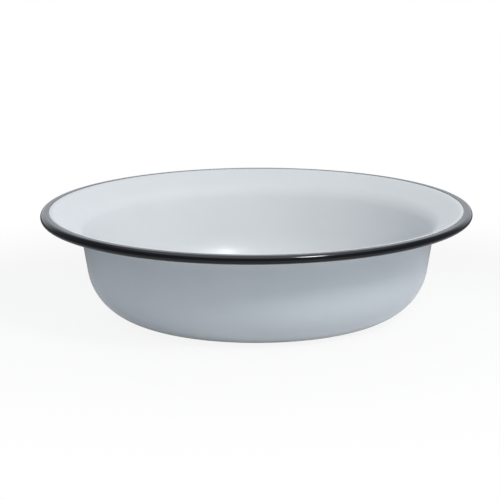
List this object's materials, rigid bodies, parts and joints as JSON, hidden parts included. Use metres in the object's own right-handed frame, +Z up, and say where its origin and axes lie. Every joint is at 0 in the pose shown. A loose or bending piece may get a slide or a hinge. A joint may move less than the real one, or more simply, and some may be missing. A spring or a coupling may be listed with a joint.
{
  "type": "bowl",
  "caption": "Wide round enamelled steel bowl with a rounded foot, a flared lip and a rolled black edge, for serving, mixing or washing.",
  "frame": {"origin": "centre of the base, on the surface that the bowl stands on", "axes": "+Z up along the bowl's axis of turning; +X and +Y are alike, because the bowl is round"},
  "size_m": [0.28, 0.28, 0.069],
  "materials": {
    "steel": "satin",
    "ground_enamel": "satin",
    "white_enamel": "polished",
    "grey_enamel": "polished",
    "black_enamel": "gloss"
  },
  "bodies": {
    "root": {"steel_shell": "steel", "inner_ground_coat": "ground_enamel", "outer_ground_coat": "ground_enamel", "inner_cover_coat": "white_enamel", "outer_cover_coat": "grey_enamel", "rim_cover_coat": "black_enamel"}
  },
  "joints": []
}
